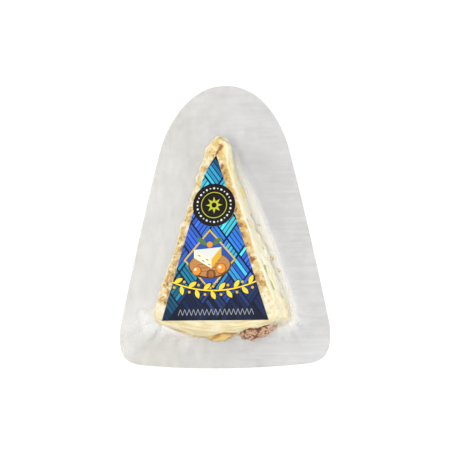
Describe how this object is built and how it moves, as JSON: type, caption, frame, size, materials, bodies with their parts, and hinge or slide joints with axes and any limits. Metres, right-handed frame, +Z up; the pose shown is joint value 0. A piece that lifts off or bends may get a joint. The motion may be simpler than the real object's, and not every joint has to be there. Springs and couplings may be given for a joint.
{
  "type": "vacuum-packed blue cheese wedge",
  "caption": "Wedge of blue cheese with walnut and apricot, lying flat in a clear vacuum pouch, with a triangular paper label and a round seal on its top face.",
  "frame": {"origin": "centre of the pouch's flat underside", "axes": "+Z up out of the label, +Y towards the wedge's tip and the pouch's round end, +X to the right as the label is read"},
  "size_m": [0.1268, 0.172, 0.0435],
  "materials": {
    "film": "clear glossy film, slightly grey",
    "cheese": "moist, mottled cream",
    "walnut": "wrinkled brown kernel",
    "apricot": "moist orange dried fruit",
    "label": "coated paper, printed in blues",
    "seal": "coated paper, black"
  },
  "bodies": {
    "root": {"pouch": "film", "cheese_wedge": "cheese", "walnut_piece": "walnut", "apricot_piece": "apricot", "label": "label", "seal": "seal"}
  },
  "joints": []
}
